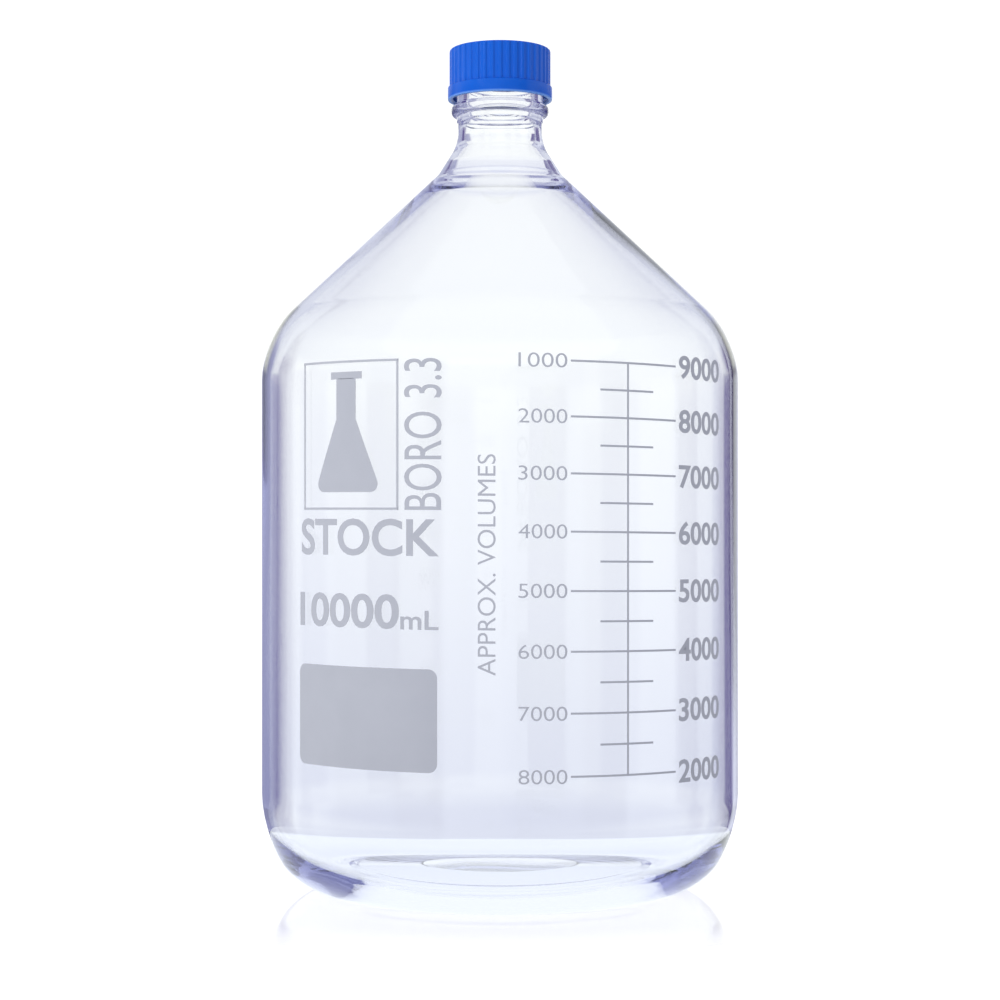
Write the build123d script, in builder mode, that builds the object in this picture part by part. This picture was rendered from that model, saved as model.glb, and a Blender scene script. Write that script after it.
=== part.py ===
from build123d import *
import os
from math import asin, cos, degrees, radians, sin, tan

# Ten litre screw-neck reagent bottle: a blown borosilicate bottle with a conical shoulder, a
# pouring ring snapped on its lip, a ribbed polypropylene screw cap with a sealing liner, and
# white enamel print fired on the outside of the wall.
# Millimetres. The origin is the centre of the base, +Z is up, and -Y is the printed side.

# ---- Driving dimensions: blown body ----------------------------------------------------------
body_diameter = 227.0
body_wall = 3.5
heel_height = 46.0          # where the heel curve runs out into the straight wall
heel_upper_radius = 60.0
heel_lower_radius = 30.0
inner_heel_radius = 36.0
foot_width = 6.0            # flat ring that the bottle rests on
foot_rise = 2.0             # first lift of the underside, just inside the foot
push_up = 5.0               # height of the hollow under the base
base_thickness = 4.5
mould_mark_radius = 38.0    # round plate mark in the middle of the underside
mould_mark_depth = 0.8
straight_height = 261.8     # where the wall's line meets the shoulder's
shoulder_wall = 4.0
shoulder_lean = 46.7        # degrees from upright
shoulder_radius = 45.0

# ---- Driving dimensions: neck and screw finish -----------------------------------------------
break_radius = 29.7         # where the shoulder cone turns into the steeper neck flare
flare_lean = 32.4           # degrees from upright
neck_length = 10.0
bulge = 2.6                 # thick ring of glass inside the break
bulge_reach = 12.0
neck_wall = 3.2
finish_diameter = 41.4      # bare glass between the threads
finish_wall = 4.8
seam_step = 0.5             # the neck is set in by this much below the mould seam
seam_slope = 1.0            # height over which it is set in
bead_rise = 3.6             # from the mould seam to the underside of the bead
bead_height = 5.3
bead_depth = 2.6
lip_rise = 22.4             # from the top of the bead to the top of the lip
lip_seat_height = 4.6       # reduced band of glass that the pouring ring grips

# ---- Driving dimensions: thread --------------------------------------------------------------
thread_pitch = 4.0
thread_depth = 1.5
glass_ridge_root = 2.2
glass_ridge_tip = 0.9
glass_thread_rise = 6.5     # start of the thread above the bead
glass_thread_end_gap = 1.2  # from the end of the thread to the reduced band of the lip
cap_ridge_root = 1.8
cap_ridge_tip = 0.8
cap_thread_turns = 2.0
ridge_sink = 0.3            # how far a ridge is rooted in the wall that carries it

# ---- Driving dimensions: closure -------------------------------------------------------------
cap_clear_of_bead = 2.3
cap_wall = 1.1              # between the ribs
cap_flange_step = 0.85      # flange beyond the ribs
cap_flange_height = 6.2
cap_top_thickness = 2.0
cap_edge_radius = 1.0
rib_count = 40
rib_depth = 0.55
rib_tip = 1.5
rib_root = 2.3
liner_thickness = 1.0
liner_face_thickness = 0.2  # fluoropolymer face of the liner
ring_thickness = 0.8
ring_collar_depth = 6.0

# ---- Driving dimensions: enamel print ----------------------------------------------------------
enamel = 0.15
print_tilt = 0.52           # degrees that the print leans, right end low
litre_low = 2
litre_high = 9
scale_low_height = 64.6     # height of the two litre line
litre_step = 27.2           # rise of the first litre above it
litre_step_fall = 0.53      # how much less each further litre rises
scale_azimuth = 29.4        # degrees from the front, positive to the right
scale_half_angle = 13.8
tick_half_angle = 6.9
line_width = 0.9

# ---- Fits --------------------------------------------------------------------------------------
thread_clearance = 0.35     # radial, tip of each thread to the wall it faces
thread_flank_gap = 0.3      # axial, between the loaded flanks
ring_clearance = 0.05       # radial, pouring ring on the lip and in the bore
skirt_gap = 0.4             # axial, under the skirt of the pouring ring
seal_gap = 0.1              # axial, at each face of the liner
liner_clearance = 0.6       # radial, liner in the cap

# ---- Derived places ----------------------------------------------------------------------------
body_radius = body_diameter / 2
finish_radius = finish_diameter / 2
neck_radius = finish_radius - seam_step
bore_radius = finish_radius - finish_wall
bead_radius = finish_radius + bead_depth
lip_radius = finish_radius - ring_thickness - ring_clearance

heel_turn = degrees(asin((heel_height - heel_lower_radius) / (heel_upper_radius - heel_lower_radius)))
foot_radius = body_radius - heel_upper_radius + (heel_upper_radius - heel_lower_radius) * cos(
    radians(heel_turn)
)

break_height = straight_height + (body_radius - break_radius) / tan(radians(shoulder_lean))
neck_height = break_height + (break_radius - neck_radius) / tan(radians(flare_lean))
seam_height = neck_height + neck_length
bead_low = seam_height + bead_rise
bead_top = bead_low + bead_height
lip_top = bead_top + lip_rise
lip_seat = lip_top - lip_seat_height

thread_start = bead_top + glass_thread_rise
glass_thread_turns = (
    lip_seat - thread_start - glass_ridge_root / 2 - glass_thread_end_gap
) / thread_pitch
ring_top = lip_top + ring_thickness
liner_low = ring_top + seal_gap
liner_top = liner_low + liner_thickness
cap_ceiling = liner_top + seal_gap
cap_top = cap_ceiling + cap_top_thickness
cap_low = bead_top + cap_clear_of_bead
cap_bore_radius = finish_radius + thread_depth + thread_clearance
rib_base = cap_bore_radius + cap_wall
grip_radius = rib_base + rib_depth
flange_radius = grip_radius + cap_flange_step


def inner_corner(corner, lean_below, lean_above, wall_below, wall_above):
    """Corner of the inner wall: the meeting point of two walls set in from an outer corner."""
    below = radians(lean_below)
    above = radians(lean_above)
    turn = sin(above - below)
    inward = (sin(below) * wall_above - sin(above) * wall_below) / turn
    upward = (cos(above) * wall_below - cos(below) * wall_above) / turn
    return (corner[0] + inward, corner[1] + upward)


def shifted(point, lean, run):
    """Point a given run up a line that leans in towards the axis."""
    return (point[0] - run * sin(radians(lean)), point[1] + run * cos(radians(lean)))


# ---- Thread ridges -------------------------------------------------------------------------------
# Both ridges wind right-handed from the +X side, so the cap rises one pitch for each turn
# counter-clockwise seen from above, and their flanks never meet on the way.
glass_ridge_middle = (glass_ridge_root + glass_ridge_tip) / 4
cap_ridge_middle = (cap_ridge_root + cap_ridge_tip) / 4
cap_thread_start = thread_start - glass_ridge_middle - cap_ridge_middle - thread_flank_gap

with BuildPart() as glass_ridge:
    with BuildLine():
        Helix(
            thread_pitch,
            glass_thread_turns * thread_pitch,
            finish_radius,
            center=(0, 0, thread_start),
        )
    with BuildSketch(Plane.XZ):
        with BuildLine():
            Polyline(
                (finish_radius - ridge_sink, thread_start - glass_ridge_root / 2),
                (finish_radius, thread_start - glass_ridge_root / 2),
                (finish_radius + thread_depth, thread_start - glass_ridge_tip / 2),
                (finish_radius + thread_depth, thread_start + glass_ridge_tip / 2),
                (finish_radius, thread_start + glass_ridge_root / 2),
                (finish_radius - ridge_sink, thread_start + glass_ridge_root / 2),
                close=True,
            )
        make_face()
    sweep(is_frenet=True)

with BuildPart() as cap_ridge:
    with BuildLine():
        Helix(
            thread_pitch,
            cap_thread_turns * thread_pitch,
            cap_bore_radius,
            center=(0, 0, cap_thread_start),
        )
    with BuildSketch(Plane.XZ):
        with BuildLine():
            Polyline(
                (cap_bore_radius + ridge_sink, cap_thread_start - cap_ridge_root / 2),
                (cap_bore_radius, cap_thread_start - cap_ridge_root / 2),
                (cap_bore_radius - thread_depth, cap_thread_start - cap_ridge_tip / 2),
                (cap_bore_radius - thread_depth, cap_thread_start + cap_ridge_tip / 2),
                (cap_bore_radius, cap_thread_start + cap_ridge_root / 2),
                (cap_bore_radius + ridge_sink, cap_thread_start + cap_ridge_root / 2),
                close=True,
            )
        make_face()
    sweep(is_frenet=True)

# ---- Glass bottle --------------------------------------------------------------------------------
# One revolved wall: foot ring and pushed-up base, two-radius heel, straight body, conical
# shoulder, flared neck, transfer bead and threaded finish. The inside follows it at the wall
# thickness, with the thick ring of glass that is left inside the break of the shoulder.
shoulder_corner = (body_radius, straight_height)
break_corner = (break_radius, break_height)
inner_shoulder = inner_corner(shoulder_corner, 0, shoulder_lean, body_wall, shoulder_wall)
inner_break = inner_corner(break_corner, shoulder_lean, flare_lean, shoulder_wall, neck_wall)
inner_neck = inner_corner((neck_radius, neck_height), flare_lean, 0, neck_wall, neck_wall)
bulge_low = shifted(inner_break, shoulder_lean, -bulge_reach)
bulge_high = shifted(inner_break, flare_lean, bulge_reach)
bulge_tip = (inner_break[0] - bulge, inner_break[1])
mark_height = push_up + mould_mark_depth

with BuildPart() as glass_bottle:
    with BuildSketch(Plane.XZ):
        with BuildLine():
            underside = FilletPolyline(
                (0, mark_height),
                (mould_mark_radius - mould_mark_depth, mark_height),
                (mould_mark_radius, push_up),
                (foot_radius - foot_width - 2 * foot_rise, foot_rise),
                (foot_radius - foot_width, 0),
                (foot_radius, 0),
                radius=(mould_mark_depth / 2, mould_mark_depth / 2, 2 * foot_rise, 2 * foot_rise),
            )
            lower_heel = JernArc(underside @ 1, (1, 0), heel_lower_radius, 90 - heel_turn)
            upper_heel = JernArc(lower_heel @ 1, lower_heel % 1, heel_upper_radius, heel_turn)
            outside = FilletPolyline(
                upper_heel @ 1,
                shoulder_corner,
                break_corner,
                (neck_radius, neck_height),
                (neck_radius, seam_height),
                (finish_radius, seam_height + seam_slope),
                (finish_radius, bead_low),
                (bead_radius, bead_low),
                (bead_radius, bead_top),
                (finish_radius, bead_top),
                (finish_radius, lip_seat),
                (lip_radius, lip_seat),
                (lip_radius, lip_top),
                (bore_radius, lip_top),
                (bore_radius, bead_low),
                (inner_neck[0], seam_height - 2 * seam_slope),
                (inner_neck[0], seam_height - 3 * seam_slope),
                radius=(shoulder_radius, 8, 18, 0.4, 0.4, 0.8, 2.2, 2.2, 0.8, 0.3, 0.3, 1.2, 1.2, 10, 10),
            )
            FilletPolyline(
                outside @ 1,
                inner_neck,
                bulge_high,
                bulge_tip,
                bulge_low,
                inner_shoulder,
                (body_radius - body_wall, base_thickness),
                (0, push_up + base_thickness),
                radius=(8, 8, 8, 12, shoulder_radius - body_wall, inner_heel_radius),
            )
            Line((0, push_up + base_thickness), (0, mark_height))
        make_face()
    revolve(axis=Axis.Z)
    add(glass_ridge.part)

glass_bottle.part.label = "glass_bottle"

# ---- Pouring ring --------------------------------------------------------------------------------
# A thin plastic ring over the lip: a collar in the bore, a drip edge on top and a skirt that
# snaps over the reduced band of glass.
collar_outer = bore_radius - ring_clearance
collar_inner = collar_outer - ring_thickness
skirt_inner = lip_radius + ring_clearance
skirt_low = lip_seat + skirt_gap

with BuildPart() as pouring_ring:
    with BuildSketch(Plane.XZ):
        with BuildLine():
            Polyline(
                (collar_inner, lip_top - ring_collar_depth),
                (collar_inner, ring_top),
                (finish_radius, ring_top),
                (finish_radius, skirt_low),
                (skirt_inner, skirt_low),
                (skirt_inner, lip_top),
                (collar_outer, lip_top),
                (collar_outer, lip_top - ring_collar_depth),
                close=True,
            )
        make_face()
        inner_top = vertices().group_by(Axis.Z)[-1].sort_by(Axis.X)[0]
        fillet(inner_top, radius=ring_thickness / 2)
    revolve(axis=Axis.Z)

pouring_ring.part.label = "pouring_ring"

# ---- Sealing liner -------------------------------------------------------------------------------
# A soft disc with a thin fluoropolymer face towards the lip. It is held in the cap behind the
# top of the thread, and it stays still on the lip while the cap turns.
liner_radius = cap_bore_radius - liner_clearance

with BuildPart() as liner_pad:
    with BuildSketch(Plane.XY.offset(liner_low + liner_face_thickness)):
        Circle(liner_radius)
    extrude(amount=liner_thickness - liner_face_thickness)

liner_pad.part.label = "liner_pad"

with BuildPart() as liner_face:
    with BuildSketch(Plane.XY.offset(liner_low)):
        Circle(liner_radius)
    extrude(amount=liner_face_thickness)

liner_face.part.label = "liner_face"

# ---- Screw cap -----------------------------------------------------------------------------------
# A moulded shell with a plain flange at the bottom, grip ribs above it and one thread ridge
# inside. The envelope rounds the ribs off with the top edge.
with BuildPart() as screw_cap:
    with BuildSketch(Plane.XY.offset(cap_low)):
        Circle(rib_base)
    extrude(amount=cap_top - cap_low)
    with BuildSketch(Plane.XY.offset(cap_low + cap_flange_height / 2)):
        with PolarLocations(0, rib_count):
            Polygon(
                (rib_base - rib_depth, -rib_root / 2),
                (rib_base, -rib_root / 2),
                (grip_radius, -rib_tip / 2),
                (grip_radius, rib_tip / 2),
                (rib_base, rib_root / 2),
                (rib_base - rib_depth, rib_root / 2),
                align=None,
            )
    extrude(amount=cap_top - cap_low - cap_flange_height / 2)
    with BuildSketch(Plane.XY.offset(cap_low)):
        Circle(flange_radius)
    extrude(amount=cap_flange_height)
    with BuildSketch(Plane.XZ):
        with BuildLine():
            FilletPolyline(
                (0, cap_low),
                (flange_radius, cap_low),
                (flange_radius, cap_low + cap_flange_height),
                (grip_radius, cap_low + cap_flange_height + cap_edge_radius / 2),
                (grip_radius, cap_top),
                (0, cap_top),
                radius=(0.8, 0.4, 0.2, cap_edge_radius),
            )
            Line((0, cap_top), (0, cap_low))
        make_face()
    revolve(axis=Axis.Z, mode=Mode.INTERSECT)
    with BuildSketch(Plane.XY.offset(cap_low)):
        Circle(cap_bore_radius)
    extrude(amount=cap_ceiling - cap_low, mode=Mode.SUBTRACT)
    mouth_edge = edges().filter_by(GeomType.CIRCLE).group_by(Axis.Z)[0].sort_by(SortBy.RADIUS)[0]
    chamfer(mouth_edge, length=0.9)
    add(cap_ridge.part)

screw_cap.part.label = "screw_cap"

# ---- Enamel print --------------------------------------------------------------------------------
# Every mark is a thin layer on the cylinder, cut from the outline drawn on the plane that
# touches the wall at its own azimuth. The whole print leans by the same small angle.
print_reach = 3 * enamel + body_radius * (1 - cos(radians(2 * scale_half_angle)))


def print_plane(azimuth, height):
    """Plane that touches the wall at an azimuth, with its drawing upright and facing out."""
    angle = radians(azimuth)
    drop = body_radius * angle * tan(radians(print_tilt))
    outward = Vector(sin(angle), -cos(angle), 0)
    along = Vector(cos(angle), sin(angle), -tan(radians(print_tilt)))
    spot = outward * (body_radius + enamel) + Vector(0, 0, height - drop)
    return Plane(origin=spot, x_dir=along, z_dir=outward)


def enamel_skin():
    """Thin shell around the straight wall that the print is cut from."""
    with BuildPart() as skin:
        with BuildSketch(Plane.XY.offset(heel_height)):
            Circle(body_radius + enamel)
            Circle(body_radius, mode=Mode.SUBTRACT)
        extrude(amount=straight_height - heel_height)
    return skin.part


def chord(half_angle):
    """Width on the drawing plane of a mark that spans twice the half angle on the wall."""
    return 2 * body_radius * sin(radians(half_angle))


def litre_height(litre):
    """Height of the line for a content in litres, above the base."""
    steps = litre - litre_low
    return scale_low_height + steps * litre_step - litre_step_fall * steps * (steps - 1) / 2


skin = enamel_skin()
scale_middle = (litre_height(litre_low) + litre_height(litre_high)) / 2
litres = range(litre_low, litre_high + 1)

# Write-on spot: a plain field for a label in pencil.
spot_azimuth = -32.95
spot_half_angle = 19.15
spot_height = 44.7
spot_middle = 87.95
spot_corner = 4.0

with BuildPart() as marking_spot:
    with BuildSketch(print_plane(spot_azimuth, spot_middle)):
        RectangleRounded(chord(spot_half_angle), spot_height, spot_corner)
    extrude(amount=-print_reach)
    add(skin, mode=Mode.INTERSECT)

marking_spot.part.label = "marking_spot"

# Volume scale: a line for each litre, a tick for each half litre and the spine that joins them.
with BuildPart() as volume_scale:
    with BuildSketch(print_plane(scale_azimuth, scale_middle)):
        for litre in litres:
            with Locations((0, litre_height(litre) - scale_middle)):
                Rectangle(chord(scale_half_angle), line_width)
        for litre in list(litres)[:-1]:
            half = (litre_height(litre) + litre_height(litre + 1)) / 2
            with Locations((0, half - scale_middle)):
                Rectangle(chord(tick_half_angle), line_width)
        Rectangle(line_width, litre_height(litre_high) - litre_height(litre_low))
    extrude(amount=-print_reach)
    add(skin, mode=Mode.INTERSECT)

volume_scale.part.label = "volume_scale"


# Flask pictogram in a thin frame.
frame_half_angle = 13.8
frame_height = 65.5
frame_line = 0.8
flask_height = 50.0
flask_width = 38.0
flask_neck = 11.0
flask_neck_height = 18.0

with BuildPart() as flask_emblem:
    with BuildSketch(print_plane(-36.6, 211.7)):
        Rectangle(chord(frame_half_angle), frame_height)
        Rectangle(
            chord(frame_half_angle) - 2 * frame_line,
            frame_height - 2 * frame_line,
            mode=Mode.SUBTRACT,
        )
        with BuildLine():
            FilletPolyline(
                (-flask_neck / 2, flask_height / 2),
                (-flask_neck / 2, flask_height / 2 - flask_neck_height),
                (-flask_width / 2, -flask_height / 2),
                (flask_width / 2, -flask_height / 2),
                (flask_neck / 2, flask_height / 2 - flask_neck_height),
                (flask_neck / 2, flask_height / 2),
                radius=(3.0, 5.0, 5.0, 3.0),
            )
            Line((flask_neck / 2, flask_height / 2), (-flask_neck / 2, flask_height / 2))
        make_face()
        with Locations((0, flask_height / 2)):
            SlotOverall(1.6 * flask_neck, 3.2)
    extrude(amount=-print_reach)
    add(skin, mode=Mode.INTERSECT)

flask_emblem.part.label = "flask_emblem"

# ---- Files ---------------------------------------------------------------------------------------
os.makedirs("parts", exist_ok=True)
export_step(glass_bottle.part, "parts/glass_bottle.step")
export_step(pouring_ring.part, "parts/pouring_ring.step")
export_step(liner_pad.part, "parts/liner_pad.step")
export_step(liner_face.part, "parts/liner_face.step")
export_step(screw_cap.part, "parts/screw_cap.step")
export_step(marking_spot.part, "parts/marking_spot.step")
export_step(volume_scale.part, "parts/volume_scale.step")
export_step(flask_emblem.part, "parts/flask_emblem.step")
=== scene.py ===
import math

import bmesh
import bpy
from mathutils import Matrix, Vector


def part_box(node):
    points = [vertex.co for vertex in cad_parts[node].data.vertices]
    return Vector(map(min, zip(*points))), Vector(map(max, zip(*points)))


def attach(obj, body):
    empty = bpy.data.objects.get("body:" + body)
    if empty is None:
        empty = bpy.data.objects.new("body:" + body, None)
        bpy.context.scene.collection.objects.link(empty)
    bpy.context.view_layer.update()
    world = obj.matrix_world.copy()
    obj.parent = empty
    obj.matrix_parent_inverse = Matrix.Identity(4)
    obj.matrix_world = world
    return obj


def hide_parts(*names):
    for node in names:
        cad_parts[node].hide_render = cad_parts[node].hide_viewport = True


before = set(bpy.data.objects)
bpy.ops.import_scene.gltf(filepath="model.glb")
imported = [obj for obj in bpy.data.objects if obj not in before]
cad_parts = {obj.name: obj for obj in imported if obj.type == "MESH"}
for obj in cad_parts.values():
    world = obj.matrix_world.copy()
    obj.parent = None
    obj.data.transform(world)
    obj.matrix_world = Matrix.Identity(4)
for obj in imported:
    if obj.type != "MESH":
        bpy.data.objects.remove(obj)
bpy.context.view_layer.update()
stage_collection = bpy.context.scene.collection

# ---- Camera and studio ---------------------------------------------------------------------------
# The bottle stands on a white gloss table against white, seen level from a little over a metre.
# White panels stand around it with gaps between them, and a soft box hangs overhead.
camera_distance = 1.0703
camera_height = 0.1655
camera_focal_length = 80.34
camera_shift = 0.0419
camera_data = bpy.data.cameras.new("camera")
camera_data.lens = camera_focal_length
camera_data.sensor_width = 36.0
camera_data.shift_y = camera_shift
camera_data.clip_end = 50.0
camera = bpy.data.objects.new("camera", camera_data)
camera.location = (0, -camera_distance, camera_height)
camera.rotation_euler = (math.radians(90), 0, 0)
stage_collection.objects.link(camera)
bpy.context.scene.camera = camera
bpy.context.scene.view_settings.view_transform = "Standard"
bpy.context.scene.view_settings.look = "None"


class Signal:
    """A shader value. Arithmetic on it adds the Math node that works it out."""

    def __init__(self, sheet, socket):
        self.sheet = sheet
        self.socket = socket

    def maths(self, operation, *others):
        values = {place: other for place, other in enumerate(others, 1)}
        return self.sheet.add("ShaderNodeMath", {"operation": operation}, {0: self, **values})

    def __add__(self, other):
        return self.maths("ADD", other)

    def __sub__(self, other):
        return self.maths("SUBTRACT", other)

    def __rsub__(self, other):
        return self.sheet.add("ShaderNodeMath", {"operation": "SUBTRACT"}, {0: other, 1: self})

    def __mul__(self, other):
        return self.maths("MULTIPLY", other)

    def __truediv__(self, other):
        return self.maths("DIVIDE", other)

    __radd__ = __add__
    __rmul__ = __mul__


class Sheet:
    """The node sheet of a material or of the surroundings."""

    def __init__(self, owner):
        owner.use_nodes = True
        self.owner = owner
        self.tree = owner.node_tree
        self.tree.nodes.clear()

    def add(self, kind, settings=None, sockets=None, output=0):
        """Adds a node: its settings first, then its sockets' values and links."""
        node = self.tree.nodes.new(kind)
        for key, value in (settings or {}).items():
            if key == "stops":
                ramp = node.color_ramp
                while len(ramp.elements) < len(value):
                    ramp.elements.new(0.5)
                for element, (position, colour) in zip(ramp.elements, value):
                    element.position = position
                    element.color = (*colour, 1.0)
            else:
                setattr(node, key, value)
        for key, value in (sockets or {}).items():
            if isinstance(value, Signal):
                self.tree.links.new(value.socket, node.inputs[key])
            else:
                node.inputs[key].default_value = value
        return Signal(self, node.outputs[output]) if len(node.outputs) else node

    def blend(self, share, first, second):
        """Colour between two colours."""
        return self.add(
            "ShaderNodeMix", {"data_type": "RGBA"}, {"Factor": share, 6: first, 7: second}, 2
        )


def finish_of(name):
    """A new material with an empty node sheet."""
    return Sheet(bpy.data.materials.new(name))


# White panels stand all round, with a deep violet gap and a pale lilac gap in each quarter turn, so
# the thick edges of the glass show a dark line on one side and a pale one on the other.
surroundings = bpy.data.worlds.new("studio")
bpy.context.scene.world = surroundings
studio = Sheet(surroundings)
direction = studio.add("ShaderNodeTexCoord", output="Generated")
along = studio.add("ShaderNodeSeparateXYZ", sockets={"Vector": direction}, output="X")
away = studio.add("ShaderNodeSeparateXYZ", sockets={"Vector": direction}, output="Y")
upward = studio.add("ShaderNodeSeparateXYZ", sockets={"Vector": direction}, output="Z")
quarter = 90.0
turn_share = along.maths("ARCTAN2", away).maths("WRAP", math.radians(quarter), 0.0)
turn_share = turn_share / math.radians(quarter)
panel_white = (1.0, 1.0, 1.0)
deep_violet = (0.075, 0.045, 0.22)
soft_violet = (0.20, 0.17, 0.36)
pale_lilac = (0.34, 0.34, 0.52)
heel_lilac = (0.66, 0.67, 0.78, 1.0)


def panel_ring(stops):
    """Colours around the studio, each at its angle within a quarter turn."""
    placed = [(angle / quarter, colour) for angle, colour in stops]
    return studio.add("ShaderNodeValToRGB", {"stops": placed}, {"Fac": turn_share})


def between(value, start, end):
    """Share that rises smoothly from 0 at the start to 1 at the end."""
    return studio.add(
        "ShaderNodeMapRange",
        {"interpolation_type": "SMOOTHSTEP"},
        {"Value": value, "From Min": start, "From Max": end},
    )


# The gaps are widest at the horizon and narrower higher up. Light that has been mirrored inside
# the wall sees a ring of its own, with the gaps further round.
panels = panel_ring(
    [
        (14.5, panel_white),
        (16.0, deep_violet),
        (34.0, deep_violet),
        (37.0, panel_white),
        (53.0, panel_white),
        (56.0, pale_lilac),
        (75.5, pale_lilac),
        (78.5, panel_white),
    ]
)
high_panels = panel_ring(
    [
        (24.0, panel_white),
        (30.0, soft_violet),
        (40.0, soft_violet),
        (44.0, panel_white),
        (48.0, panel_white),
        (52.0, pale_lilac),
        (60.0, pale_lilac),
        (66.0, panel_white),
    ]
)
edge_panels = panel_ring(
    [
        (0.0, (0.70, 0.70, 0.84)),
        (26.0, (0.86, 0.86, 0.95)),
        (29.5, deep_violet),
        (48.0, deep_violet),
        (52.0, pale_lilac),
        (82.0, pale_lilac),
        (90.0, (0.62, 0.62, 0.80)),
    ]
)
# The panels are a little bluer near the floor and a little dimmer overhead.
height_share = studio.add(
    "ShaderNodeMapRange", sockets={"Value": upward, "From Min": -0.25, "From Max": 0.75}
)
height_tone = studio.add(
    "ShaderNodeValToRGB",
    {
        "stops": [
            (0.10, (0.86, 0.89, 0.96)),
            (0.25, (1.02, 1.05, 1.06)),
            (0.40, (1.10, 1.13, 1.09)),
            (0.70, (1.10, 1.13, 1.09)),
            (0.95, (0.60, 0.61, 0.76)),
        ]
    },
    {"Fac": height_share},
)
bounced = studio.add("ShaderNodeLightPath", output="Glossy Depth").maths("GREATER_THAN", 0.5)
passed = studio.add("ShaderNodeLightPath", output="Transmission Depth")
level = 1.0 - between(upward, 0.08, 0.11)
inside = passed.maths("GREATER_THAN", 0.5).maths("MAXIMUM", level)
edge_share = bounced * inside * passed.maths("LESS_THAN", 3.5)
steep_share = bounced * between(upward * upward, 0.035, 0.09)
plain_light = studio.blend(between(upward, 0.07, 0.14), panels, high_panels)
edge_light = studio.blend(edge_share, plain_light, edge_panels)
ring_light = studio.blend(steep_share, edge_light, heel_lilac)
panel_light = studio.add(
    "ShaderNodeMix",
    {"data_type": "RGBA", "blend_type": "MULTIPLY"},
    {"Factor": 1.0, 6: ring_light, 7: height_tone},
    2,
)
panel_sky = studio.add("ShaderNodeBackground", sockets={"Color": panel_light, "Strength": 1.0})
front_light = (0.31, 0.32, 0.50, 1.0)
back_light = (0.95, 0.96, 1.05, 1.0)
room_light = studio.blend(between(away, -0.9, 0.6), front_light, back_light)
room_sky = studio.add("ShaderNodeBackground", sockets={"Color": room_light})
seen_sky = studio.add("ShaderNodeBackground", sockets={"Color": (1.1, 1.1, 1.1, 1.0)})
mirrored = studio.add("ShaderNodeLightPath", output="Is Glossy Ray")
refracted = studio.add("ShaderNodeLightPath", output="Is Transmission Ray")
sharp_share = mirrored.maths("MAXIMUM", refracted)
lit_sky = studio.add("ShaderNodeMixShader", sockets={0: sharp_share, 1: room_sky, 2: panel_sky})
seen = studio.add("ShaderNodeLightPath", output="Is Camera Ray")
sky = studio.add("ShaderNodeMixShader", sockets={0: seen, 1: lit_sky, 2: seen_sky})
studio.add("ShaderNodeOutputWorld", sockets={"Surface": sky})
# Light crosses the wall of the bottle many times before it leaves the thick edges.
light_paths = bpy.context.scene.cycles
light_paths.max_bounces = 64
light_paths.glossy_bounces = 32
light_paths.transmission_bounces = 40


def soft_box(name, place, aim, width, height, power, colour):
    """A rectangular studio light aimed at a point."""
    lamp = bpy.data.lights.new(name, "AREA")
    lamp.shape = "RECTANGLE"
    lamp.size = width
    lamp.size_y = height
    lamp.energy = power
    lamp.color = colour
    holder = bpy.data.objects.new(name, lamp)
    holder.location = place
    holder.rotation_euler = (Vector(aim) - Vector(place)).to_track_quat("-Z", "Y").to_euler()
    holder.visible_camera = holder.visible_glossy = holder.visible_transmission = False
    stage_collection.objects.link(holder)


soft_box("overhead_box", (0.0, 0.2, 1.9), (0, 0, 0), 1.2, 1.2, 10.0, (1.0, 1.0, 1.0))
soft_box("left_box", (-0.9, -1.1, 0.7), (0, 0, 0.25), 0.5, 1.1, 12.0, (1.0, 1.0, 0.97))

# The table is a lit white gloss sheet. Its polish fades away from the bottle. The glass itself
# sees only a small bright sheet just under it, so no dark horizon shows in the heel.
white_sheet = finish_of("white_gloss_sheet")
sheet_place = white_sheet.add("ShaderNodeTexCoord", output="Object")
sheet_reach = white_sheet.add(
    "ShaderNodeVectorMath", {"operation": "LENGTH"}, {0: sheet_place}, "Value"
)
fade = white_sheet.add(
    "ShaderNodeMapRange",
    {"interpolation_type": "SMOOTHSTEP"},
    {"Value": sheet_reach, "From Min": 0.125, "From Max": 0.24},
)
sheet_glow = white_sheet.blend(fade, (0.60, 0.60, 0.62, 1.0), (1.0, 1.0, 1.0, 1.0))
sheet_face = white_sheet.add(
    "ShaderNodeBsdfPrincipled",
    sockets={
        "Base Color": (0.10, 0.10, 0.10, 1.0),
        "Roughness": 0.05 + 0.5 * fade,
        "IOR": 1.45,
        "Emission Color": sheet_glow,
        "Emission Strength": 1.0,
    },
)
white_sheet.add("ShaderNodeOutputMaterial", sockets={"Surface": sheet_face})
under_sheet = finish_of("bright_under_sheet")
under_glow = under_sheet.add(
    "ShaderNodeEmission", sockets={"Color": (1.05, 1.10, 1.14, 1.0), "Strength": 1.0}
)
under_sheet.add("ShaderNodeOutputMaterial", sockets={"Surface": under_glow})
for name, reach, height, finish in (
    ("table", 6.0, 0.0, white_sheet),
    ("table_under", 0.20, -0.0006, under_sheet),
):
    table_mesh = bpy.data.meshes.new(name)
    table_form = bmesh.new()
    bmesh.ops.create_circle(table_form, cap_ends=True, segments=96, radius=reach)
    table_form.to_mesh(table_mesh)
    table_form.free()
    table_mesh.materials.append(finish.owner)
    table = bpy.data.objects.new(name, table_mesh)
    table.location.z = height
    for_glass = finish is under_sheet
    table.visible_transmission = table.visible_glossy = for_glass
    table.visible_camera = table.visible_diffuse = not for_glass
    stage_collection.objects.link(table)

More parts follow.
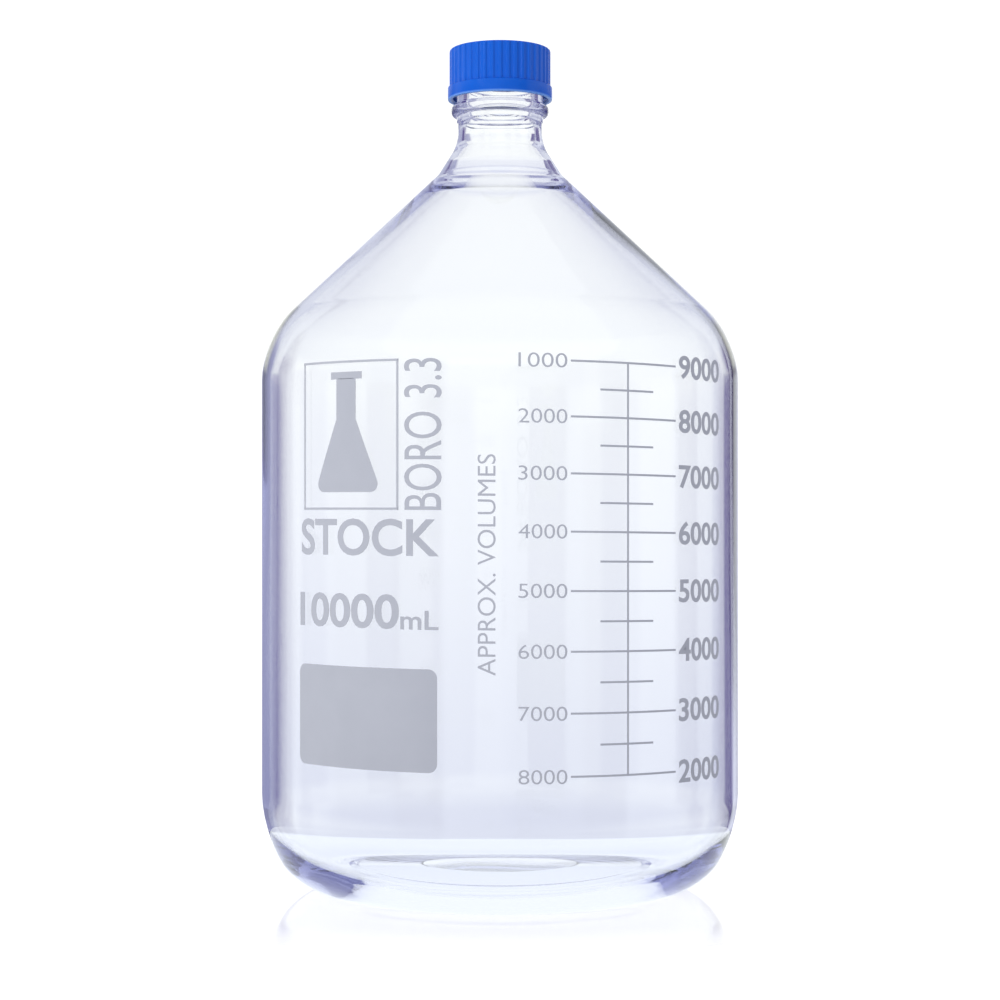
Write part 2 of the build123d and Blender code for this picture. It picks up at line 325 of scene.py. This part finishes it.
# ---- Glass bottle --------------------------------------------------------------------------------
# Blown borosilicate glass in one piece: pushed-up base, soft heel, straight wall, cone shoulder,
# flared neck, transfer bead and a moulded screw finish with a fire-polished lip.
bottle_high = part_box("glass_bottle")[1]
body_radius = bottle_high[0]
lip_height = bottle_high[2]
wall = 0.0035
neck_radius = 0.0202
finish_radius = 0.0207
bore_radius = 0.0159
bead_radius = 0.0233
bead_top = lip_height - 0.0224
bead_low = bead_top - 0.0053
seam_height = bead_low - 0.0036
shoulder_height = 0.2618
break_radius = 0.0297
break_height = 0.3408
neck_height = 0.3558
lip_seat = lip_height - 0.0046
lip_radius = 0.01985
foot_inside = 0.0689
foot_outside = 0.0729
heel_foot = 0.09543
heel_height = 0.02872
push_up = 0.0050
plate_radius = 0.0380
plate_depth = 0.0008
neck_bore = 0.0170
sections_around = 256
thread_rise = 0.0065
thread_pitch = 0.0040
thread_turns = 2.25
thread_depth = 0.0015
thread_sink = 0.0003

# Each corner of the wall's outline is (distance from the axis, height, rounding).
outer_wall = [
    (0.0, push_up + plate_depth, 0),
    (plate_radius - plate_depth, push_up + plate_depth, 0.0004),
    (plate_radius, push_up, 0.0004),
    (foot_inside, 0.0020, 0.004),
    (foot_outside, 0.0, 0.004),
    (heel_foot, 0.0, 0.030),
    (body_radius, heel_height, 0.060),
    (body_radius, shoulder_height, 0.045),
    (break_radius, break_height, 0.008),
    (neck_radius, neck_height, 0.018),
    (neck_radius, seam_height, 0.0006),
    (finish_radius, seam_height + 0.0010, 0.0005),
    (finish_radius, bead_low, 0.0010),
    (bead_radius, bead_low, 0.0023),
    (bead_radius, bead_top, 0.0023),
    (finish_radius, bead_top, 0.0010),
    (finish_radius, lip_seat, 0.0003),
    (lip_radius, lip_seat, 0.0003),
    (lip_radius, lip_height, 0.0012),
]
inner_wall = [
    (bore_radius, lip_height, 0.0012),
    (bore_radius, bead_low, 0.010),
    (neck_bore, seam_height - 0.0020, 0.010),
    (neck_bore, 0.35481, 0.008),
    (0.02252, 0.34611, 0.008),
    (0.02635, 0.33598, 0.008),
    (0.03768, 0.32775, 0.012),
    (body_radius - wall, 0.2596, 0.0415),
    (body_radius - wall, 0.0045, 0.036),
    (0.0740, 0.0045, 0.0015),
    (0.0705, 0.0058, 0.0030),
    (0.0, 0.0095, 0),
]


def rounded_outline(form, corners, arc_step=5.0):
    """Draws a half section in the XZ plane and rounds its corners to arcs."""
    points = [form.verts.new((across, 0, up)) for across, up, rounding in corners]
    for pair in zip(points, points[1:]):
        form.edges.new(pair)
    for place in range(1, len(corners) - 1):
        across, up, rounding = corners[place]
        if not rounding:
            continue
        before = Vector((across - corners[place - 1][0], up - corners[place - 1][1]))
        after = Vector((corners[place + 1][0] - across, corners[place + 1][1] - up))
        turn = before.angle(after)
        bmesh.ops.bevel(
            form,
            geom=[points[place]],
            offset=0.9995 * rounding * math.tan(turn / 2),
            offset_type="OFFSET",
            segments=max(2, round(math.degrees(turn) / arc_step)),
            profile=0.5,
            affect="VERTICES",
            material=-1,
        )


def turned(form, steps):
    """Spins the section about the axis into a closed skin with its faces outwards."""
    bmesh.ops.spin(
        form,
        geom=form.verts[:] + form.edges[:],
        cent=(0, 0, 0),
        axis=(0, 0, 1),
        dvec=(0, 0, 0),
        angle=math.tau,
        steps=steps,
        use_merge=True,
        use_duplicate=False,
    )
    bmesh.ops.remove_doubles(form, verts=form.verts[:], dist=1e-6)
    bmesh.ops.recalc_face_normals(form, faces=form.faces[:])


def piece_from(form, name, finish, sharp=40.0):
    """Makes the finished object, smooth but for its sharp edges."""
    for face in form.faces:
        face.smooth = True
    for edge in form.edges:
        edge.smooth = edge.is_manifold and edge.calc_face_angle() < math.radians(sharp)
    mesh = bpy.data.meshes.new(name)
    form.to_mesh(mesh)
    form.free()
    mesh.materials.append(finish.owner)
    made = bpy.data.objects.new(name, mesh)
    stage_collection.objects.link(made)
    return made


def thread_ridge(root, tip, root_width, tip_width, start, turns, steps=72):
    """A trapezoid ridge wound right-handed about the axis."""
    form = bmesh.new()
    corners = [(root, -root_width / 2), (tip, -tip_width / 2), (tip, tip_width / 2)]
    corners.append((root, root_width / 2))
    ring = [form.verts.new((across, 0, start + up)) for across, up in corners]
    section = form.faces.new(ring)
    bmesh.ops.spin(
        form,
        geom=[section],
        cent=(0, 0, 0),
        axis=(0, 0, 1),
        dvec=(0, 0, thread_pitch / steps),
        angle=math.tau * turns,
        steps=round(turns * steps),
        use_merge=False,
        use_duplicate=False,
    )
    bmesh.ops.recalc_face_normals(form, faces=form.faces[:])
    ridge = bpy.data.meshes.new("ridge")
    form.to_mesh(ridge)
    form.free()
    return ridge


def joined_with(made, ridge):
    """Fuses a ridge with the wall that carries it, into one closed skin."""
    cutter = bpy.data.objects.new("ridge", ridge)
    stage_collection.objects.link(cutter)
    union = made.modifiers.new("union", "BOOLEAN")
    union.operation = "UNION"
    union.solver = "EXACT"
    union.object = cutter
    bpy.context.view_layer.update()
    settled = bpy.context.evaluated_depsgraph_get()
    fused = bpy.data.meshes.new_from_object(made.evaluated_get(settled))
    made.modifiers.clear()
    made.data = fused
    bpy.data.objects.remove(cutter)


borosilicate = finish_of("borosilicate")
glass_place = borosilicate.add("ShaderNodeTexCoord", output="Object")
glass_height = borosilicate.add(
    "ShaderNodeSeparateXYZ", sockets={"Vector": glass_place}, output="Z"
)
# Painted shade: the glass colour goes a little darker and bluer from the shoulder down to the base.
# This stands in for the dimmer light low in the bottle; the glass is clear all over.
painted_shade_share = borosilicate.add(
    "ShaderNodeMapRange", sockets={"Value": glass_height, "From Min": 0.34, "From Max": 0.06}
)
painted_shade_tint = borosilicate.blend(painted_shade_share, (1.0, 1.0, 1.0, 1.0), (0.965, 0.972, 0.992, 1.0))
stretched = borosilicate.add(
    "ShaderNodeMapping", sockets={"Vector": glass_place, "Scale": (9.0, 9.0, 3.0)}
)
slow_waves = borosilicate.add(
    "ShaderNodeTexNoise", sockets={"Vector": stretched, "Scale": 1.0, "Detail": 1.0}
)
blown_skin = borosilicate.add(
    "ShaderNodeBump", sockets={"Strength": 0.35, "Distance": 0.004, "Height": slow_waves}
)
glass_body = borosilicate.add(
    "ShaderNodeBsdfPrincipled",
    sockets={
        "Base Color": painted_shade_tint,
        "Roughness": 0.0,
        "IOR": 1.473,
        "Transmission Weight": 1.0,
        "Normal": blown_skin,
    },
)
glass_depth = borosilicate.add(
    "ShaderNodeVolumeAbsorption", sockets={"Color": (0.50, 0.52, 0.80, 1.0), "Density": 14.0}
)
borosilicate.add(
    "ShaderNodeOutputMaterial", sockets={"Surface": glass_body, "Volume": glass_depth}
)

bottle_form = bmesh.new()
rounded_outline(bottle_form, outer_wall + inner_wall)
turned(bottle_form, sections_around)
bottle = piece_from(bottle_form, "bottle", borosilicate)
bottle_thread = thread_ridge(
    finish_radius - thread_sink,
    finish_radius + thread_depth,
    0.0026,
    0.0009,
    bead_top + thread_rise,
    thread_turns,
)
joined_with(bottle, bottle_thread)
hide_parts("glass_bottle")
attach(bottle, "bottle")

# ---- Screw cap -----------------------------------------------------------------------------------
# Moulded blue polypropylene: grip ribs above a plain flange, a rounded top edge and one thread
# ridge inside. Its lowest rim is painted a lighter blue: painted light, standing in for light
# glowing through the thin wall.
cap_low, cap_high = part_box("screw_cap")
flange_radius = cap_high[0]
rib_count = 40
rib_tip_radius = 0.0242
rib_root_radius = 0.02365
rib_tip_turn = math.radians(1.70)
rib_root_turn = math.radians(2.75)
cap_bore = 0.02255
cap_top_thickness = 0.0020
cap_ceiling = cap_high[2] - cap_top_thickness
flange_top = cap_low[2] + 0.0062
mouth_chamfer = 0.0009
cap_thread_turns = 2.0
cap_thread_offset = -0.0024

blue_polypropylene = finish_of("blue_polypropylene")
cap_place = blue_polypropylene.add("ShaderNodeTexCoord", output="Object")
moulding = blue_polypropylene.add(
    "ShaderNodeTexNoise", sockets={"Vector": cap_place, "Scale": 900.0, "Detail": 3.0}
)
flow = blue_polypropylene.add(
    "ShaderNodeTexNoise", sockets={"Vector": cap_place, "Scale": 60.0, "Detail": 2.0}
)
cap_body = blue_polypropylene.blend(flow, (0.0, 0.088, 0.52, 1.0), (0.0, 0.105, 0.57, 1.0))
cap_rise = blue_polypropylene.add(
    "ShaderNodeSeparateXYZ", sockets={"Vector": cap_place}, output="Z"
)
# Painted light: the lowest millimetre of the cap is painted a lighter blue, as if light glowed
# through the thin rim.
painted_rim_light = blue_polypropylene.add(
    "ShaderNodeMapRange",
    sockets={"Value": cap_rise, "From Min": cap_low[2] + 0.0011, "From Max": cap_low[2] + 0.0002},
)
cap_blue_and_painted_rim_light = blue_polypropylene.blend(painted_rim_light, cap_body, (0.14, 0.32, 0.76, 1.0))
cap_grain = blue_polypropylene.add(
    "ShaderNodeBump", sockets={"Strength": 0.12, "Distance": 0.0004, "Height": moulding}
)
cap_face = blue_polypropylene.add(
    "ShaderNodeBsdfPrincipled",
    sockets={
        "Base Color": cap_blue_and_painted_rim_light,
        "Roughness": 0.20 + 0.10 * flow,
        "IOR": 1.49,
        "Specular IOR Level": 0.30,
        "Normal": cap_grain,
    },
)
blue_polypropylene.add("ShaderNodeOutputMaterial", sockets={"Surface": cap_face})


def rib_ring(form, tip, root, up):
    """A loop around the cap with four points to a rib, on the given radii."""
    ring = bmesh.ops.create_circle(form, segments=4 * rib_count, radius=tip)["verts"]
    for place, point in enumerate(ring):
        rib, part = divmod(place, 4)
        turn = (-rib_root_turn, -rib_tip_turn, rib_tip_turn, rib_root_turn)[part]
        angle = math.tau * rib / rib_count + turn
        radius = tip if part in (1, 2) else root
        point.co = (radius * math.cos(angle), radius * math.sin(angle), up)
    return [edge for edge in form.edges if edge.verts[0] in ring and edge.verts[1] in ring]


cap_form = bmesh.new()
edge_round = 0.0010
loops = [
    rib_ring(cap_form, cap_bore, cap_bore, cap_ceiling),
    rib_ring(cap_form, cap_bore, cap_bore, cap_low[2] + mouth_chamfer),
    rib_ring(cap_form, cap_bore + mouth_chamfer, cap_bore + mouth_chamfer, cap_low[2]),
    rib_ring(cap_form, flange_radius - 0.0007, flange_radius - 0.0007, cap_low[2]),
    rib_ring(cap_form, flange_radius - 0.0002, flange_radius - 0.0002, cap_low[2] + 0.0002),
    rib_ring(cap_form, flange_radius, flange_radius, cap_low[2] + 0.0007),
    rib_ring(cap_form, flange_radius, flange_radius, flange_top - 0.0003),
    rib_ring(cap_form, flange_radius - 0.0003, flange_radius - 0.0003, flange_top),
    rib_ring(cap_form, rib_tip_radius, rib_root_radius, flange_top + 0.0001),
]
for share in range(7):
    lean = math.radians(90 * share / 6)
    inward = edge_round * (1 - math.cos(lean))
    rise = cap_high[2] - edge_round * (1 - math.sin(lean))
    root = min(rib_root_radius, rib_tip_radius - inward)
    loops.append(rib_ring(cap_form, rib_tip_radius - inward, root, rise))
for lower, upper in zip(loops, loops[1:]):
    bmesh.ops.bridge_loops(cap_form, edges=lower + upper)
bmesh.ops.holes_fill(cap_form, edges=loops[0])
bmesh.ops.holes_fill(cap_form, edges=loops[-1])
bmesh.ops.recalc_face_normals(cap_form, faces=cap_form.faces[:])
rib_lines = [
    edge
    for edge in cap_form.edges
    if edge.is_manifold
    and edge.calc_face_angle() > math.radians(25)
    and abs(edge.verts[0].co.z - edge.verts[1].co.z) > 0.01
]
bmesh.ops.bevel(
    cap_form,
    geom=rib_lines,
    offset=0.00018,
    offset_type="OFFSET",
    segments=2,
    profile=0.5,
    affect="EDGES",
    material=-1,
)
cap = piece_from(cap_form, "cap", blue_polypropylene)
cap_thread = thread_ridge(
    cap_bore + thread_sink,
    cap_bore - thread_depth,
    0.0020,
    0.0008,
    bead_top + thread_rise + cap_thread_offset,
    cap_thread_turns,
)
joined_with(cap, cap_thread)
# The neck stays clear right up to the cap, so light bent by the glass passes the cap by.
cap.visible_transmission = False
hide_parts("screw_cap")
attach(cap, "cap")

# ---- Pouring ring and liner ----------------------------------------------------------------------
# The pouring ring is a thin blue collar snapped over the lip. The liner is a soft white pad
# with a smooth fluoropolymer face, held up inside the cap.
ring_low, ring_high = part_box("pouring_ring")
ring_outer = ring_high[0]
ring_wall = 0.0008
ring_gap = 0.00005
skirt_gap = 0.0004
seat_gap = 0.00002
collar_outer = bore_radius - ring_gap
ring_form = bmesh.new()
rounded_outline(
    ring_form,
    [
        (collar_outer - ring_wall / 2, ring_low[2], 0),
        (collar_outer - ring_wall, ring_low[2], 0.0003),
        (collar_outer - ring_wall, ring_high[2], 0.0004),
        (ring_outer, ring_high[2], 0.0003),
        (ring_outer, lip_seat + skirt_gap, 0.0002),
        (lip_radius + ring_gap, lip_seat + skirt_gap, 0.0002),
        (lip_radius + ring_gap, lip_height + seat_gap, 0.0004),
        (collar_outer, lip_height + seat_gap, 0.0004),
        (collar_outer, ring_low[2], 0.0003),
        (collar_outer - ring_wall / 2, ring_low[2], 0),
    ],
    arc_step=15.0,
)
turned(ring_form, 128)
pouring_ring = piece_from(ring_form, "pour_ring", blue_polypropylene)
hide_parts("pouring_ring")
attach(pouring_ring, "bottle")

for node, colour, roughness in (
    ("liner_pad", (0.80, 0.79, 0.75, 1.0), 0.6),
    ("liner_face", (0.88, 0.88, 0.87, 1.0), 0.35),
):
    liner_sheet = finish_of(node)
    liner_place = liner_sheet.add("ShaderNodeTexCoord", output="Object")
    specks = liner_sheet.add(
        "ShaderNodeTexNoise", sockets={"Vector": liner_place, "Scale": 700.0, "Detail": 2.0}
    )
    pad_colour = liner_sheet.blend(specks * 0.3, colour, (0.60, 0.60, 0.58, 1.0))
    pad_skin = liner_sheet.add(
        "ShaderNodeBump", sockets={"Strength": 0.2, "Distance": 0.0002, "Height": specks}
    )
    pad_face = liner_sheet.add(
        "ShaderNodeBsdfPrincipled",
        sockets={"Base Color": pad_colour, "Roughness": roughness, "Normal": pad_skin},
    )
    liner_sheet.add("ShaderNodeOutputMaterial", sockets={"Surface": pad_face})
    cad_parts[node].data.materials.clear()
    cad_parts[node].data.materials.append(liner_sheet.owner)

# ---- Enamel: write-on spot -----------------------------------------------------------------------
# White ceramic ink, screen printed on the wall and fired until it fuses with the glass. The
# spot is a plain field that takes a pencil.
print_tilt = math.tan(math.radians(0.52))
ink_rise = 0.00008
ink_sink = 0.00005
spot_azimuth = math.radians(-32.95)
spot_width = 0.0759
spot_height = 0.0447
spot_middle = 0.08795
spot_corner = 0.0040

enamel = finish_of("white_enamel")
ink_place = enamel.add("ShaderNodeTexCoord", output="Object")
ink_cloud = enamel.add(
    "ShaderNodeTexNoise", sockets={"Vector": ink_place, "Scale": 55.0, "Detail": 4.0}
)
ink_grain = enamel.add(
    "ShaderNodeTexNoise", sockets={"Vector": ink_place, "Scale": 2600.0, "Detail": 2.0}
)
ink_colour = enamel.blend(ink_cloud, (0.37, 0.385, 0.42, 1.0), (0.42, 0.435, 0.47, 1.0))
ink_skin = enamel.add(
    "ShaderNodeBump", sockets={"Strength": 0.25, "Distance": 0.00006, "Height": ink_grain}
)
ink_face = enamel.add(
    "ShaderNodeBsdfPrincipled",
    sockets={
        "Base Color": ink_colour,
        "Roughness": 0.42 + 0.16 * ink_cloud,
        "Specular IOR Level": 0.08,
        "Normal": ink_skin,
    },
)
enamel.add("ShaderNodeOutputMaterial", sockets={"Surface": ink_face})


def fired_print(form, name, azimuth, middle, stands_for=None):
    """Cuts a flat mark in narrow strips, gives it the ink's thickness and wraps it on the wall."""
    strip = 0.0015
    reach = max(abs(point.co.x) for point in form.verts)
    for step in range(-int(reach / strip), int(reach / strip) + 1):
        bmesh.ops.bisect_plane(
            form,
            geom=form.verts[:] + form.edges[:] + form.faces[:],
            plane_co=(step * strip, 0, 0),
            plane_no=(1, 0, 0),
            dist=1e-7,
        )
    raised = bmesh.ops.extrude_face_region(form, geom=form.faces[:])["geom"]
    for point in form.verts:
        point.co.z = -ink_sink
    for point in raised:
        if isinstance(point, bmesh.types.BMVert):
            point.co.z = ink_rise
    for point in form.verts:
        angle = azimuth + point.co.x / body_radius
        radius = body_radius + point.co.z
        drop = body_radius * angle * print_tilt
        height = middle + point.co.y - drop
        point.co = (radius * math.sin(angle), -radius * math.cos(angle), height)
    bmesh.ops.recalc_face_normals(form, faces=form.faces[:])
    mark = piece_from(form, name, enamel)
    if stands_for:
        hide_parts(stands_for)
    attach(mark, "bottle")
    return mark


def flat_rectangle(form, width, height, across=0.0, up=0.0):
    """A flat rectangle in the drawing plane."""
    place = Matrix.Translation((across, up, 0)) @ Matrix.Diagonal((width, height, 1, 1))
    return bmesh.ops.create_grid(form, x_segments=1, y_segments=1, size=0.5, matrix=place)["verts"]


spot_form = bmesh.new()
spot_corners = flat_rectangle(spot_form, spot_width, spot_height)
bmesh.ops.bevel(
    spot_form,
    geom=spot_corners,
    offset=spot_corner,
    offset_type="OFFSET",
    segments=10,
    profile=0.5,
    affect="VERTICES",
    material=-1,
)
fired_print(spot_form, "write_on_spot", spot_azimuth, spot_middle, "marking_spot")

# ---- Enamel: volume scale ------------------------------------------------------------------------
# A line for each litre from two to nine, a shorter tick for each half litre, and the spine that
# joins them. The litres lie a little closer together towards the top.
scale_azimuth = math.radians(29.4)
scale_width = 0.0547
tick_width = 0.0273
line_width = 0.0009
scale_bottom = 0.0646
litre_step = 0.0272
litre_step_fall = 0.00053
litres = range(2, 10)


def litre_height(litre):
    """Height of the line for a content in litres."""
    steps = litre - litres[0]
    return scale_bottom + steps * litre_step - litre_step_fall * steps * (steps - 1) / 2


scale_middle = (litre_height(litres[0]) + litre_height(litres[-1])) / 2
scale_form = bmesh.new()
for litre in litres:
    flat_rectangle(scale_form, scale_width, line_width, 0, litre_height(litre) - scale_middle)
for litre in litres[:-1]:
    half = (litre_height(litre) + litre_height(litre + 1)) / 2
    flat_rectangle(scale_form, tick_width, line_width, 0, half - scale_middle)
flat_rectangle(scale_form, line_width, litre_height(litres[-1]) - litre_height(litres[0]))
fired_print(scale_form, "scale_lines", scale_azimuth, scale_middle, "volume_scale")

# ---- Enamel: lettering ---------------------------------------------------------------------------
# Plain numerals on both sides of the scale, the capacity, and a few plain words, in the same
# fired ink. The right column reads what the bottle holds, the left one what has been poured out.


def lettering(name, words, azimuth, middle, height, width, weight=0.0, upright=False):
    """Printed words of a given height and width, centred on a place on the wall."""
    curve = bpy.data.curves.new(name, "FONT")
    curve.body = words
    curve.size = 1.0
    curve.offset = weight
    curve.resolution_u = 5
    draft = bpy.data.objects.new(name, curve)
    stage_collection.objects.link(draft)
    bpy.context.view_layer.update()
    settled = bpy.context.evaluated_depsgraph_get()
    flat = bpy.data.meshes.new_from_object(draft.evaluated_get(settled))
    bpy.data.objects.remove(draft)
    form = bmesh.new()
    form.from_mesh(flat)
    bmesh.ops.remove_doubles(form, verts=form.verts[:], dist=1e-4)
    left = min(point.co.x for point in form.verts)
    right = max(point.co.x for point in form.verts)
    base = min(point.co.y for point in form.verts)
    top = max(point.co.y for point in form.verts)
    for point in form.verts:
        point.co.x = (point.co.x - (left + right) / 2) * width / (right - left)
        point.co.y = (point.co.y - (base + top) / 2) * height / (top - base)
    if upright:
        bmesh.ops.rotate(
            form, verts=form.verts[:], cent=(0, 0, 0), matrix=Matrix.Rotation(math.pi / 2, 3, "Z")
        )
    return fired_print(form, name, azimuth, middle)


full_litres = 10
contents_azimuth = math.radians(52.8)
poured_azimuth = math.radians(9.4)
for litre in litres:
    contents = str(1000 * litre)
    poured = str(1000 * (full_litres - litre))
    place = litre_height(litre)
    lettering("contents_" + contents, contents, contents_azimuth, place, 0.0104, 0.0336, 0.02)
    lettering("poured_" + poured, poured, poured_azimuth, place, 0.0062, 0.0214, -0.006)

lettering("capacity_number", "10000", math.radians(-37.3), 0.1348, 0.0152, 0.0580, 0.02)
lettering("capacity_unit", "mL", math.radians(-17.9), 0.1314, 0.0083, 0.0175, 0.015)
lettering(
    "scale_note", "APPROX. VOLUMES", math.radians(-2.9), 0.1556, 0.0078, 0.0950, -0.004, True
)
lettering("glass_type", "BORO 3.3", math.radians(-17.1), 0.2117, 0.0172, 0.0655, 0.0, True)
lettering("use_word", "STOCK", math.radians(-32.4), 0.1670, 0.0163, 0.0753, 0.02)

# ---- Enamel: flask emblem ------------------------------------------------------------------------
# A plain flask in a thin frame, in the same fired ink: a solid cone with rounded foot corners, a
# straight neck and a flat lip.
emblem_azimuth = math.radians(-36.6)
emblem_middle = 0.2117
frame_width = 0.0547
frame_height = 0.0655
frame_line = 0.0010
emblem_form = bmesh.new()
for side in (-1, 1):
    flat_rectangle(emblem_form, frame_line, frame_height, side * (frame_width - frame_line) / 2)
    flat_rectangle(emblem_form, frame_width, frame_line, 0, side * (frame_height - frame_line) / 2)
flask_neck = 0.0055
flask_foot = 0.019
flask_half_height = 0.025
neck_foot = 0.007
flask = [
    (-flask_neck, flask_half_height),
    (-flask_neck, neck_foot),
    (-flask_foot, -flask_half_height),
    (flask_foot, -flask_half_height),
    (flask_neck, neck_foot),
    (flask_neck, flask_half_height),
]
flask_points = [emblem_form.verts.new((across, up, 0)) for across, up in flask]
emblem_form.faces.new(flask_points)
bmesh.ops.bevel(
    emblem_form,
    geom=flask_points[2:4],
    offset=0.006,
    offset_type="OFFSET",
    segments=8,
    profile=0.5,
    affect="VERTICES",
    material=-1,
)
flat_rectangle(emblem_form, 0.0176, 0.0032, 0, 0.0262)
fired_print(emblem_form, "flask_sign", emblem_azimuth, emblem_middle, "flask_emblem")
